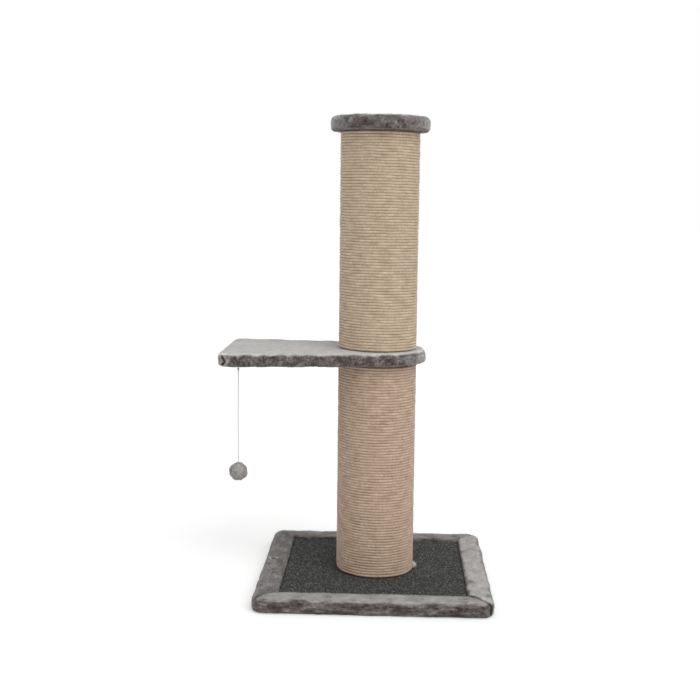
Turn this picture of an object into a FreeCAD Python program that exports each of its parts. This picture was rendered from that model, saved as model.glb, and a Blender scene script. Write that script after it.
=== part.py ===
# Cat scratching post: a padded square base, two posts wound with sisal rope, a shelf clamped between
# them, a round cap, and a plush ball that hangs on a string under the shelf.
# Millimetres. +Z is up, +X to the right and +Y to the back. The origin is on the posts' axis, at the
# floor. Every piece is one STEP file in parts/, named after the piece.
import FreeCAD, Part
import math
import os

V = FreeCAD.Vector
UP = V(0, 0, 1)

# Boards and coverings
board_thickness = 15.0
plush_thickness = 3.0
carpet_thickness = 5.5
hem_bevel = 2.5
wadding_bevel = 4.5
edge_share = 0.3

# Base
base_side = 470.0
base_corner_radius = 22.0
border_width = 47.0
border_rise = 7.5
border_crown = 1.5
border_outer_round = 10.0
border_inner_round = 6.0
base_hem = 34.0

# Posts
post_length = 443.0
tube_diameter = 150.0
tube_wall = 5.0
plug_thickness = 18.0
plug_clearance = 0.1

# Sisal rope, as wound: flattened a little by its tension
rope_depth = 6.0
rope_pitch = 5.75
rope_gap = 0.5
rope_seat = 0.1
rope_end_clearance = 0.15
rope_flats = 4
wound_turns = 2
foot_rope_start = -6.0
hidden_rope_end = 90.0

# Shelf
shelf_thickness = 26.0
shelf_reach = 315.5
shelf_end_half_width = 137.0
shelf_corner_radius = 20.0
collar_radius = 100.0
shelf_hem = 28.0
shelf_edge_round = 7.5

# Cap
cap_radius = 100.0
cap_thickness = 28.0
cap_hem = 40.0
cap_edge_round = 8.0

# Bolts, studs and tee nuts
thread_diameter = 8.0
thread_clearance = 0.05
through_hole_diameter = 9.0
bolt_length = 40.0
bolt_head_diameter = 14.0
bolt_head_height = 4.4
bolt_socket_width = 5.0
bolt_socket_depth = 2.5
washer_diameter = 30.0
washer_thickness = 2.0
counterbore_diameter = 34.0
counterbore_depth = 6.0
stud_overrun = 9.0
nut_barrel_diameter = 10.0
nut_barrel_length = 12.0
nut_flange_diameter = 24.0
nut_flange_thickness = 1.5
nut_flange_sides = 8
nut_prong_circle = 18.0
nut_prong_width = 3.0
nut_prong_length = 7.0
nut_prong_count = 4

# Staples
staple_crown = 10.0
staple_leg = 10.0
staple_wire_width = 1.2
staple_wire_thickness = 0.6
staple_sink = 0.3
staple_hem_margin = 7.0
plug_staple_leg = 14.0
rope_staple_crown = 6.0
rope_staple_leg = 14.0
base_staples_per_side = 4
shelf_staples_per_side = 3
shelf_end_staple_spacing = 90.0
shelf_staples_round_collar = 3
cap_staple_count = 6
plug_staple_count = 4
rope_staple_angles = (3.0, 11.0)

# Hanging toy
toy_past_hem = 9.5
toy_side_inset = 42.0
string_diameter = 2.0
string_length = 189.0
toy_clearance = 0.3
toy_wire = 1.2
toy_crown = 10.0
toy_leg = 9.0
loop_sides = 8
knot_diameter = 4.4
knot_gores = 8
knot_rows = 4
knot_bite = 0.4
ball_diameter = 37.0
ball_gores = 20
ball_rows = 10

# Heights that follow from the sizes above
board_bottom = plush_thickness
board_top = board_bottom + board_thickness
carpet_top = board_top + carpet_thickness
border_top = carpet_top + border_rise
lower_bottom = carpet_top
shelf_bottom = lower_bottom + post_length
upper_bottom = shelf_bottom + shelf_thickness
cap_bottom = upper_bottom + post_length

# Place of the toy under the shelf's front left corner
toy_x = shelf_hem + toy_past_hem - shelf_reach
toy_y = toy_side_inset - shelf_end_half_width

# Radii that follow
tube_radius = tube_diameter / 2
post_radius = tube_radius + rope_seat + rope_depth
rope_centre_radius = tube_radius + rope_seat + rope_depth / 2
rope_width = rope_pitch - rope_gap
plug_radius = tube_radius - tube_wall - plug_clearance
hole_radius = through_hole_diameter / 2


def ring(outer, inner, bottom, top):
    """Round tube or holed disc on the posts' axis."""
    body = Part.makeCylinder(outer, top - bottom, V(0, 0, bottom))
    return body.cut(Part.makeCylinder(inner, top - bottom, V(0, 0, bottom)))


def prism(outline, bottom, height):
    """Upright solid over a flat outline."""
    return outline.translated(V(0, 0, bottom)).extrude(UP * height)


def drilled(solid, bottom, height):
    """Solid with a bolt hole through it on the posts' axis."""
    return solid.cut(Part.makeCylinder(hole_radius, height, V(0, 0, bottom)))


def arc_about(centre, start, end):
    """Arc of under a half circle from start to end about a centre."""
    middle = (start - centre) + (end - centre)
    middle.normalize()
    return Part.Arc(start, centre + middle * (start - centre).Length, end).toShape()


def line(start, end):
    """Straight edge."""
    return Part.LineSegment(start, end).toShape()


def regular_polygon(radius, sides, first=0.0):
    """Flat closed wire through evenly spaced corners, the first at an angle in degrees."""
    corners = []
    for side in range(sides):
        angle = math.radians(first + 360 * side / sides)
        corners.append(V(radius * math.cos(angle), radius * math.sin(angle), 0))
    return Part.makePolygon(corners + corners[:1])


def turned(shape, degrees):
    """Copy of a shape, turned about the posts' axis."""
    copy = shape.copy()
    copy.rotate(V(0, 0, 0), UP, degrees)
    return copy


def save(name, *solids):
    """Write one piece, or a group of like pieces, as its own STEP file."""
    shape = solids[0] if len(solids) == 1 else Part.makeCompound(list(solids))
    for solid in solids:
        if not solid.isValid():
            raise ValueError(name + " is not a valid solid")
    shape.exportStep("parts/" + name + ".step")


# Staples


def staple(crown, leg, wire_width=staple_wire_width, wire=staple_wire_thickness):
    """U of flat wire: its crown lies along X just below z = 0 and its legs point up."""
    half = crown / 2
    corners = [
        V(-half, 0, 0),
        V(half, 0, 0),
        V(half, 0, leg),
        V(half - wire, 0, leg),
        V(half - wire, 0, wire),
        V(-half + wire, 0, wire),
        V(-half + wire, 0, leg),
        V(-half, 0, leg),
    ]
    face = Part.Face(Part.makePolygon(corners + corners[:1]))
    return face.translated(V(0, -wire_width / 2, 0)).extrude(V(0, wire_width, 0))


def hem_staple(x, y, underside, along):
    """Staple driven up through a hem, its crown turned to an angle in degrees."""
    one = staple(staple_crown, staple_leg)
    one.rotate(V(0, 0, 0), UP, along)
    one.translate(V(x, y, underside + staple_sink))
    return one


def wall_staple(crown, leg, surface_radius, angle, height):
    """Staple driven in towards the posts' axis, its crown lying round the post."""
    one = staple(crown, leg)
    one.rotate(V(0, 0, 0), V(1, 0, 0), 90)
    one.translate(V(0, surface_radius, height))
    one.rotate(V(0, 0, 0), UP, angle - 90)
    return one


# Base


def rounded_square(side, radius):
    """Flat square with round corners, on the posts' axis."""
    half = side / 2
    edges = []
    for quarter in range(4):
        centre = V(half - radius, half - radius, 0)
        corner = [
            line(V(half, radius - half, 0), V(half, half - radius, 0)),
            arc_about(centre, V(half, half - radius, 0), V(half - radius, half, 0)),
        ]
        for edge in corner:
            edges.append(turned(edge, 90 * quarter))
    return Part.Face(Part.Wire(edges))


def border_point(inward, height):
    """Point of the front border's section, by its distance in from the outer side."""
    return V(0, inward - base_side / 2, height)


def border_section():
    """Section of the border's plush, board and padding together: up the outer side, over the crowned
    top and down beside the carpet, with the hem's step below."""
    shoulder = border_top - border_crown
    outer = border_outer_round
    inner = border_inner_round
    outer_high = border_point(outer, shoulder)
    inner_high = border_point(border_width - inner, shoulder)
    crown = border_point(border_width / 2, border_top)
    rest = [
        inner_high,
        border_point(border_width - edge_share * inner, shoulder - edge_share * inner),
        border_point(border_width, shoulder - inner),
        border_point(border_width, board_top),
        border_point(base_hem, board_top),
        border_point(base_hem, 0),
        border_point(hem_bevel, 0),
        border_point(0, hem_bevel),
        border_point(0, shoulder - outer),
        border_point(edge_share * outer, shoulder - edge_share * outer),
        outer_high,
    ]
    edges = [Part.Arc(outer_high, crown, inner_high).toShape()]
    edges += [line(start, end) for start, end in zip(rest, rest[1:])]
    return Part.Face(Part.Wire(edges))


def front_quarter(reach):
    """Flat triangle of the plan between the mitres of the front border, out to a reach."""
    corners = [V(0, 0, 0), V(-reach, -reach, 0), V(reach, -reach, 0)]
    return Part.Face(Part.makePolygon(corners + corners[:1]))


def trimmed_quarter(reach):
    """Flat front quarter of the base whose tips beyond a reach are cut off square to the mitres."""
    cut = base_side / 2 - reach
    corners = [
        V(0, 0, 0),
        V(-reach, -reach, 0),
        V(cut - reach, -cut - reach, 0),
        V(reach - cut, -cut - reach, 0),
        V(reach, -reach, 0),
    ]
    return Part.Face(Part.makePolygon(corners + corners[:1]))


def border_form():
    """Front strip of the border as a full body. Outside the corner's radius the section runs straight
    and turns an eighth of a circle round each corner; inside that radius its ends are mitred."""
    section = border_section()
    half = base_side / 2
    reach = half - base_corner_radius
    splitter = Part.makeBox(2 * half, base_corner_radius, half, V(-half, -half, 0))
    full = section.translated(V(-half, 0, 0)).extrude(V(base_side, 0, 0))
    inner = full.cut(splitter).common(prism(front_quarter(reach), 0, half))
    outer = section.common(splitter)
    strip = outer.translated(V(-reach, 0, 0)).extrude(V(2 * reach, 0, 0)).fuse(inner)
    for side in (-1, 1):
        end = outer.translated(V(side * reach, 0, 0))
        strip = strip.fuse(end.revolve(V(side * reach, -reach, 0), UP, side * 45))
    return strip.removeSplitter()


def border_wadding():
    """Foam strip on the board: mitred, with its outer edge bevelled and its tips cut short of the
    plush's round corners."""
    skin = plush_thickness
    high = border_top - border_crown - skin
    corners = [
        border_point(skin, board_top),
        border_point(skin, high - wadding_bevel),
        border_point(skin + wadding_bevel, high),
        border_point(border_width - skin, high),
        border_point(border_width - skin, board_top),
    ]
    section = Part.Face(Part.makePolygon(corners + corners[:1]))
    bar = section.translated(V(-base_side / 2, 0, 0)).extrude(V(base_side, 0, 0))
    tip = base_corner_radius - skin - wadding_bevel
    reach = base_side / 2 - base_corner_radius + tip / math.sqrt(2)
    return bar.common(prism(trimmed_quarter(reach), board_top, high - board_top))


def make_base():
    """Board, carpet, four plush strips over their padding, and what fastens them."""
    outline = rounded_square(base_side - 2 * plush_thickness, base_corner_radius - plush_thickness)
    solid_board = prism(outline, board_bottom, board_thickness)
    board = drilled(solid_board, board_bottom, board_thickness)
    board = board.cut(Part.makeCylinder(counterbore_diameter / 2, counterbore_depth, V(0, 0, board_bottom)))
    save("base_board", board)

    panel = base_side - 2 * border_width
    carpet = Part.makeBox(panel, panel, carpet_thickness, V(-panel / 2, -panel / 2, board_top))
    save("base_carpet", drilled(carpet, board_top, carpet_thickness))

    wadding = border_wadding()
    plush = border_form().cut(solid_board).cut(wadding)
    for side, degrees in (("front", 0), ("right", 90), ("back", 180), ("left", 270)):
        save("base_plush_" + side, turned(plush, degrees))
        save("base_wadding_" + side, turned(wadding, degrees))

    staples = []
    row = base_side / 2 - base_hem + staple_hem_margin
    spacing = 2 * row / base_staples_per_side
    for quarter in range(4):
        for place in range(base_staples_per_side):
            across = -row + spacing * (place + 0.5)
            staples.append(turned(hem_staple(across, -row, 0, 0), 90 * quarter))
    save("base_staples", *staples)


def make_base_bolt():
    """Socket-head bolt and its washer, sunk in the board's counterbore."""
    seat = board_bottom + counterbore_depth
    head_top = seat - washer_thickness
    head_bottom = head_top - bolt_head_height
    washer = ring(washer_diameter / 2, thread_diameter / 2 + thread_clearance, head_top, seat)
    save("base_washer", washer)
    head = Part.makeCylinder(bolt_head_diameter / 2, bolt_head_height, V(0, 0, head_bottom))
    socket_radius = bolt_socket_width / math.sqrt(3)
    socket = Part.Face(regular_polygon(socket_radius, 6))
    head = head.cut(prism(socket, head_bottom, bolt_socket_depth))
    shank = Part.makeCylinder(thread_diameter / 2, bolt_length, V(0, 0, head_top))
    save("base_bolt", head.fuse(shank).removeSplitter())


# Posts


def tee_nut(face_height, into):
    """Pronged tee nut with its flange on a face; into is +1 or -1, the way its barrel points."""
    bore = thread_diameter / 2 + thread_clearance
    barrel = Part.makeCylinder(nut_barrel_diameter / 2, nut_barrel_length)
    flange = Part.Face(regular_polygon(nut_flange_diameter / 2, nut_flange_sides))
    nut = barrel.fuse(prism(flange, -nut_flange_thickness, nut_flange_thickness))
    tip = V(0, nut_prong_circle / 2, nut_prong_length)
    for place in range(nut_prong_count):
        left = V(-nut_prong_width / 2, nut_prong_circle / 2, 0)
        right = V(nut_prong_width / 2, nut_prong_circle / 2, 0)
        prong = Part.Face(Part.makePolygon([left, right, tip, left]))
        prong = prong.extrude(V(0, nut_flange_thickness, 0))
        nut = nut.fuse(turned(prong, 360 * place / nut_prong_count))
    hole = nut_barrel_length + nut_flange_thickness
    nut = nut.cut(Part.makeCylinder(bore, hole, V(0, 0, -nut_flange_thickness)))
    nut = nut.removeSplitter()
    if into < 0:
        nut.rotate(V(0, 0, 0), V(1, 0, 0), 180)
    nut.translate(V(0, 0, face_height))
    return nut


def make_plugs():
    """The four board discs that close the tubes."""
    hole = nut_barrel_diameter / 2 + thread_clearance
    bottoms = [
        lower_bottom,
        shelf_bottom - plug_thickness,
        upper_bottom,
        cap_bottom - plug_thickness,
    ]
    save("tube_plugs", *[ring(plug_radius, hole, low, low + plug_thickness) for low in bottoms])


def make_tee_nuts():
    """The five tee nuts: one in each plug and one in the cap's board."""
    cap_board_top = cap_bottom + plush_thickness + board_thickness
    save(
        "tee_nuts",
        tee_nut(lower_bottom + plug_thickness, -1),
        tee_nut(shelf_bottom - plug_thickness, 1),
        tee_nut(upper_bottom + plug_thickness, -1),
        tee_nut(cap_bottom - plug_thickness, 1),
        tee_nut(cap_board_top, -1),
    )


def helix_point(angle, start_height):
    """Point of the rope's middle line at an angle in radians, rising one pitch a turn."""
    rise = rope_pitch * angle / (2 * math.pi)
    x = rope_centre_radius * math.cos(angle)
    y = rope_centre_radius * math.sin(angle)
    return V(x, y, start_height + rise)


def helix_direction(angle):
    """Unit direction of the rope's middle line at an angle."""
    x = -rope_centre_radius * math.sin(angle)
    y = rope_centre_radius * math.cos(angle)
    direction = V(x, y, rope_pitch / (2 * math.pi))
    direction.normalize()
    return direction


def tangent_arc(start, direction, end):
    """Arc from start, leaving in a direction, to end."""
    chord = end - start
    along = chord * (1 / chord.Length)
    aside = direction - along * direction.dot(along)
    bulge = aside.Length
    aside.normalize()
    lean = math.atan2(bulge, direction.dot(along))
    middle = start + chord * 0.5 + aside * (chord.Length / 2 * math.tan(lean / 2))
    return Part.Arc(start, middle, end).toShape()


def biarc(start, start_direction, end, end_direction):
    """Two arcs that meet smoothly and leave start and reach end in the given directions."""
    span = end - start
    both = start_direction + end_direction
    square = 2 * (1 - start_direction.dot(end_direction))
    linear = 2 * span.dot(both)
    reach = (-linear + math.sqrt(linear * linear + 4 * square * span.dot(span))) / (2 * square)
    meeting = (start + start_direction * reach + end - end_direction * reach) * 0.5
    across = end - end_direction * reach - start - start_direction * reach
    across.normalize()
    return [tangent_arc(start, start_direction, meeting), tangent_arc(meeting, across, end)]


def wound_rope(start_height, start_angle):
    """Turns of rope as one unbroken tube with flats, with straight ends one rope width long, and the
    least gap that it leaves to itself. The section slowly leans along the helix, so it starts with
    half of that lean and is upright half way."""
    first = math.radians(start_angle)
    angles = [first + math.pi * place for place in range(2 * wound_turns + 1)]
    base_height = start_height - rope_pitch * first / (2 * math.pi)
    points = [helix_point(angle, base_height) for angle in angles]
    directions = [helix_direction(angle) for angle in angles]
    tail = points[0] - directions[0] * rope_width
    tip = points[-1] + directions[-1] * rope_width
    edges = [line(tail, points[0])]
    for place in range(len(points) - 1):
        edges += biarc(points[place], directions[place], points[place + 1], directions[place + 1])
    edges.append(line(points[-1], tip))
    path = Part.Wire(edges)

    outwards = V(math.cos(first), math.sin(first), 0)
    upwards = outwards.cross(directions[0])
    twist = wound_turns * rope_pitch / rope_centre_radius / 2
    corners = []
    for flat in range(rope_flats):
        angle = 2 * math.pi * flat / rope_flats - twist
        out = outwards * (rope_depth / 2 * math.cos(angle))
        corners.append(tail + out + upwards * (rope_width / 2 * math.sin(angle)))
    pipe = Part.BRepOffsetAPI.MakePipeShell(path)
    pipe.add(Part.makePolygon(corners + corners[:1]))
    pipe.build()
    pipe.makeSolid()
    return pipe.shape(), least_gap(path)


def least_gap(path):
    """Least free space between turns, measured from points along the rope's middle line to the chords
    between the points at least half a turn further on."""
    per_turn = 60
    points = path.discretize(Number=per_turn * wound_turns + 1)
    least = math.inf
    for place, point in enumerate(points):
        for start, end in zip(points[place + per_turn // 2:], points[place + per_turn // 2 + 1:]):
            chord = end - start
            share = (point - start).dot(chord) / chord.dot(chord)
            foot = start + chord * min(1.0, max(0.0, share))
            least = min(least, (foot - point).Length)
    return least - rope_width


def make_post(name, bottom, rope_start):
    """One post: tube, plugs, tee nuts, rope winding and staples."""
    top = bottom + post_length
    save(name + "_tube", ring(tube_radius, tube_radius - tube_wall, bottom, top))

    first_height = bottom + rope_end_clearance + rope_width / 2
    last_height = top - rope_end_clearance - rope_width / 2
    last_start = last_height - wound_turns * rope_pitch
    foot_turns, foot_gap = wound_rope(first_height, rope_start)
    head_turns, head_gap = wound_rope(last_start, hidden_rope_end)
    print(name, "rope: least gap between turns", round(min(foot_gap, head_gap), 3), "mm")
    sleeve_bottom = first_height + wound_turns * rope_pitch + rope_width / 2 + rope_gap
    sleeve_top = last_start - rope_width / 2 - rope_gap
    sleeve = ring(post_radius, tube_radius + rope_seat, sleeve_bottom, sleeve_top)
    save(name + "_sisal", foot_turns, sleeve, head_turns)

    staples = []
    for height in (bottom + plug_thickness / 2, top - plug_thickness / 2):
        for place in range(plug_staple_count):
            angle = 360 * (place + 0.5) / plug_staple_count
            staples.append(wall_staple(staple_crown, plug_staple_leg, tube_radius, angle, height))
    save(name + "_plug_staples", *staples)

    staples = []
    for angle in rope_staple_angles:
        foot = rope_start + angle
        head = hidden_rope_end - angle
        foot_height = first_height + rope_pitch * angle / 360
        head_height = last_height - rope_pitch * angle / 360
        staples.append(wall_staple(rope_staple_crown, rope_staple_leg, post_radius, foot, foot_height))
        staples.append(wall_staple(rope_staple_crown, rope_staple_leg, post_radius, head, head_height))
    save(name + "_rope_staples", *staples)


# Shelf and cap


def shelf_side_normal():
    """Outward direction of the shelf's straight back side, which is tangent to the collar."""
    to_corner = math.hypot(shelf_reach, shelf_end_half_width)
    angle = math.atan2(shelf_end_half_width, -shelf_reach) - math.acos(collar_radius / to_corner)
    return V(math.cos(angle), math.sin(angle), 0)


def shelf_outline(inset):
    """Flat outline of the shelf, drawn in by inset: a blunt end to the left, with sides that run
    straight to a round collar about the posts."""
    corner_x = -shelf_reach + shelf_corner_radius
    normal = shelf_side_normal()
    corner_y = (collar_radius - shelf_corner_radius - normal.x * corner_x) / normal.y
    corner = V(corner_x, corner_y, 0)
    end = V(-shelf_reach + inset, corner_y, 0)
    turn = corner + normal * (shelf_corner_radius - inset)
    touch = normal * (collar_radius - inset)
    far = V(collar_radius - inset, 0, 0)
    half = [arc_about(corner, end, turn), line(turn, touch), arc_about(V(0, 0, 0), touch, far)]
    edges = list(half)
    for edge in half:
        edges.append(edge.mirror(V(0, 0, 0), V(0, 1, 0)))
    edges.append(line(end, V(end.x, -end.y, 0)))
    return Part.Face(Part.Wire(Part.__sortEdges__(edges)))


def narrow_shelf_outline(inset):
    """Outline of the shelf inside its hem, with square corners."""
    full = shelf_outline(0)
    return full.makeOffset2D(-inset)


def cap_outline(inset):
    """Flat disc of the cap, drawn in by inset."""
    return Part.Face(Part.Wire([Part.Circle(V(0, 0, 0), UP, cap_radius - inset).toShape()]))


def shelf_body(layers):
    """Body with the shelf's outline, each layer given by its inset and its height."""
    wires = [shelf_outline(inset).OuterWire.translated(V(0, 0, height)) for inset, height in layers]
    return Part.makeLoft(wires, True, True)


def cap_body(layers):
    """Round body of the cap, each layer given by its inset and its height."""
    rim = [V(cap_radius - inset, 0, height) for inset, height in layers]
    corners = [V(0, 0, rim[0].z)] + rim + [V(0, 0, rim[-1].z)]
    section = Part.Face(Part.makePolygon(corners + corners[:1]))
    return section.revolve(V(0, 0, 0), UP, 360)


def upholstered(body, outline, mouth, bottom, thickness, edge_round):
    """Board, padding and plush cover of a padded board: the cover wraps the edge and turns under."""
    skin = plush_thickness
    top = bottom + thickness
    low = bottom + skin + board_thickness
    high = top - skin
    ease = edge_share * edge_round
    cover = body(
        [
            (hem_bevel, bottom),
            (0, bottom + hem_bevel),
            (0, top - edge_round),
            (ease, top - ease),
            (edge_round, top),
        ]
    )
    board = prism(outline(skin), bottom + skin, board_thickness)
    wadding = body([(skin, low), (skin, high - wadding_bevel), (skin + wadding_bevel, high)])
    cover = cover.cut(board).cut(wadding).cut(prism(mouth, bottom, skin))
    return board, wadding, cover


def make_shelf():
    """Upholstered shelf with its lining, staples and the stud through it."""
    skin = plush_thickness
    mouth = narrow_shelf_outline(shelf_hem)
    board, wadding, cover = upholstered(
        shelf_body, shelf_outline, mouth, shelf_bottom, shelf_thickness, shelf_edge_round
    )
    save("shelf_board", drilled(board, shelf_bottom, shelf_thickness))
    save("shelf_wadding", drilled(wadding, shelf_bottom, shelf_thickness))
    save("shelf_plush", drilled(cover, shelf_bottom, shelf_thickness))
    save("shelf_lining", drilled(prism(mouth, shelf_bottom, skin), shelf_bottom, skin))

    save("shelf_staples", *shelf_staples())

    overrun = plug_thickness + stud_overrun
    length = shelf_thickness + 2 * overrun
    save("shelf_stud", Part.makeCylinder(thread_diameter / 2, length, V(0, 0, shelf_bottom - overrun)))


def shelf_staples():
    """Staples through the shelf's hem: along both sides, along the blunt end and round the collar."""
    row = shelf_hem - staple_hem_margin
    normal = shelf_side_normal()
    along = UP.cross(normal)
    along_angle = math.degrees(math.atan2(along.y, along.x))
    side_length = math.sqrt(shelf_reach**2 + shelf_end_half_width**2 - collar_radius**2)
    staples = []
    for side in (-1, 1):
        for place in range(shelf_staples_per_side):
            run = side_length * (place + 1) / (shelf_staples_per_side + 1)
            point = normal * (collar_radius - row) + along * run
            staples.append(hem_staple(point.x, side * point.y, shelf_bottom, side * along_angle))
        end_y = side * shelf_end_staple_spacing / 2
        staples.append(hem_staple(-shelf_reach + row, end_y, shelf_bottom, 90))
    collar_row = (post_radius + collar_radius) / 2
    for place in range(shelf_staples_round_collar):
        angle = 180 * (place + 0.5) / shelf_staples_round_collar - 90
        staples.append(turned(hem_staple(collar_row, 0, shelf_bottom, 90), angle))
    return staples


def make_cap():
    """Upholstered cap with its tee nut, stud and staples."""
    mouth = cap_outline(cap_hem)
    board, wadding, cover = upholstered(
        cap_body, cap_outline, mouth, cap_bottom, cap_thickness, cap_edge_round
    )
    nut_hole = nut_barrel_diameter / 2 + thread_clearance
    board_low = cap_bottom + plush_thickness
    board_high = board_low + board_thickness
    board = board.cut(Part.makeCylinder(nut_hole, board_thickness, V(0, 0, board_low)))
    pocket = nut_flange_diameter / 2 + plug_clearance
    wadding = wadding.cut(Part.makeCylinder(pocket, nut_flange_thickness, V(0, 0, board_high)))
    save("cap_board", board)
    save("cap_wadding", wadding)
    save("cap_plush", cover)
    stud_bottom = cap_bottom - plug_thickness - stud_overrun
    save("cap_stud", Part.makeCylinder(thread_diameter / 2, board_high - stud_bottom, V(0, 0, stud_bottom)))

    staples = []
    row = (post_radius + cap_radius) / 2
    for place in range(cap_staple_count):
        staples.append(turned(hem_staple(row, 0, cap_bottom, 90), 360 * place / cap_staple_count))
    save("cap_staples", *staples)


# Hanging toy


def faceted_ball(centre, radius, gores, rows):
    """Ball of flat facets in gores and rows, with their corners on a sphere."""

    def corner(row, gore):
        climb = math.pi * row / rows - math.pi / 2
        around = 2 * math.pi * gore / gores
        level = radius * math.cos(climb)
        return centre + V(level * math.cos(around), level * math.sin(around), radius * math.sin(climb))

    faces = []
    for gore in range(gores):
        for row in range(rows):
            low_edge = [corner(row, gore), corner(row, gore + 1)]
            high_edge = [corner(row + 1, gore + 1), corner(row + 1, gore)]
            if row == 0:
                low_edge.pop()
            if row == rows - 1:
                high_edge.pop()
            corners = low_edge + high_edge
            faces.append(Part.Face(Part.makePolygon(corners + corners[:1])))
    return Part.Solid(Part.makeShell(faces))


def make_toy():
    """Wire staple under the shelf, the string's loop and knot on it, the string, and the ball."""
    cord = string_diameter / 2
    flat = math.cos(math.pi / loop_sides)
    loop_inside = toy_wire / math.sqrt(2) + toy_clearance
    loop_outside = loop_inside + string_diameter
    crown_height = shelf_bottom - loop_outside / flat - toy_clearance
    pivot = V(toy_x, toy_y, crown_height)

    hook = staple(toy_crown, shelf_bottom - crown_height + toy_leg, toy_wire, toy_wire)
    save("toy_staple", hook.translated(pivot - UP * (toy_wire / 2)))

    rim = Part.Face(regular_polygon(loop_outside / flat, loop_sides, 180 / loop_sides))
    hollow = Part.Face(regular_polygon(loop_inside / flat, loop_sides, 180 / loop_sides))
    loop = prism(rim.cut(hollow), -cord, string_diameter)
    loop.rotate(V(0, 0, 0), V(0, 1, 0), 90)
    loop.translate(pivot)
    knot_radius = knot_diameter / 2
    knot_height = crown_height - loop_outside - knot_radius + knot_bite
    knot = faceted_ball(V(toy_x, toy_y, knot_height), knot_radius, knot_gores, knot_rows)
    save("toy_loop", loop.fuse(knot))

    string_top = knot_height - knot_radius - toy_clearance
    string_bottom = string_top - string_length
    save("toy_string", Part.makeCylinder(cord, string_length, V(toy_x, toy_y, string_bottom)))
    ball_height = string_bottom - toy_clearance - ball_diameter / 2
    ball = faceted_ball(V(toy_x, toy_y, ball_height), ball_diameter / 2, ball_gores, ball_rows)
    save("toy_ball", ball)
    print("toy: staple", round(crown_height, 3), "knot", round(knot_height, 3))
    print("toy: string from", round(string_top, 3), "to", round(string_bottom, 3))
    print("toy: ball", round(ball_height, 3))


os.makedirs("parts", exist_ok=True)
make_base()
make_base_bolt()
make_plugs()
make_tee_nuts()
make_post("lower", lower_bottom, foot_rope_start)
make_post("upper", upper_bottom, hidden_rope_end)
make_shelf()
make_cap()
make_toy()
print("height", round(cap_bottom + cap_thickness, 2), "post radius", round(post_radius, 2))
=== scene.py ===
"""Looks of a cat scratching post: plush-covered base, shelf and cap, two posts wound with sisal rope,
and a plush ball on a string. Metres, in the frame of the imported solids: +Z up, the post's axis at the
origin, the floor at z = 0."""

import math

import bmesh
import bpy
import numpy as np
from mathutils import Matrix, Vector


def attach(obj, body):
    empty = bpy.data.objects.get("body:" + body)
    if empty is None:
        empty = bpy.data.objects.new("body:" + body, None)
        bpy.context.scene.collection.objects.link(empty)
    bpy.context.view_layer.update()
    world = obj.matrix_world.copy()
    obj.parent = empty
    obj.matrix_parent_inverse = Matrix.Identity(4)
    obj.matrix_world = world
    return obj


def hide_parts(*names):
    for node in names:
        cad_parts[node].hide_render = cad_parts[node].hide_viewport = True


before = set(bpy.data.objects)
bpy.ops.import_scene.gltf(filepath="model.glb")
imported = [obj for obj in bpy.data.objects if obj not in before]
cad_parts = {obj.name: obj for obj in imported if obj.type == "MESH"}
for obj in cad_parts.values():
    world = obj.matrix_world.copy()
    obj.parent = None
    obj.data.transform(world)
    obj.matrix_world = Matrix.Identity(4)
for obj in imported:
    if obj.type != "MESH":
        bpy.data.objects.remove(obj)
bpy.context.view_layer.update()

# Sizes of the real object, in metres
SKIN = 0.003
BASE_HALF = 0.235
BASE_CORNER = 0.022
BOARD_LOW = 0.003
BOARD_TOP = 0.018
CARPET_TOP = 0.0235
CARPET_HALF = 0.188
BORDER_TOP = 0.031
BORDER_WIDTH = 0.047
BORDER_HEM = 0.034
TUBE_RADIUS = 0.0751
ROPE_DEPTH = 0.006
ROPE_PITCH = 0.00575
LOWER_POST = (0.0235, 0.4665)
UPPER_POST = (0.4925, 0.9355)
SHELF = (0.4665, 0.4925)
SHELF_BOARD_TOP = 0.4845
SHELF_REACH = 0.3155
SHELF_END_HALF = 0.137
SHELF_CORNER = 0.020
SHELF_HEM = 0.028
COLLAR = 0.100
CAP = (0.9355, 0.9635)
CAP_BOARD_TOP = 0.9535
CAP_RADIUS = 0.100
CAP_HEM = 0.040
BOLT_HOLE = 0.0045
BEARING = 0.097
# The toy hangs from its staple: its place, and the heights that its solids have
TOY = (-0.278, -0.095)
STAPLE_CROWN = 0.462792
KNOT_HEIGHT = 0.457844
STRING_TOP = 0.455344
STRING_LOW = 0.266344
STRING_THICK = 0.002
BALL_HEIGHT = 0.247544
BALL_CORE = 0.0172
BALL_RADIUS = 0.0185

TURN = 2 * math.pi


# Surfaces


def unit(ways):
    """Each direction of an array, divided by its length."""
    return ways / np.maximum(np.linalg.norm(ways, axis=-1, keepdims=True), 1e-12)


def swell(points, wavelength, seed, waves=24):
    """Smooth random height at points: a sum of plane waves of one wavelength in random directions
    and phases, scaled to a spread of one."""
    chance = np.random.default_rng(seed)
    ways = unit(chance.normal(size=(waves, 3))) * TURN / wavelength
    phases = chance.uniform(0, TURN, waves)
    return np.cos(points @ ways.T + phases).sum(-1) * math.sqrt(2 / waves)


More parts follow.
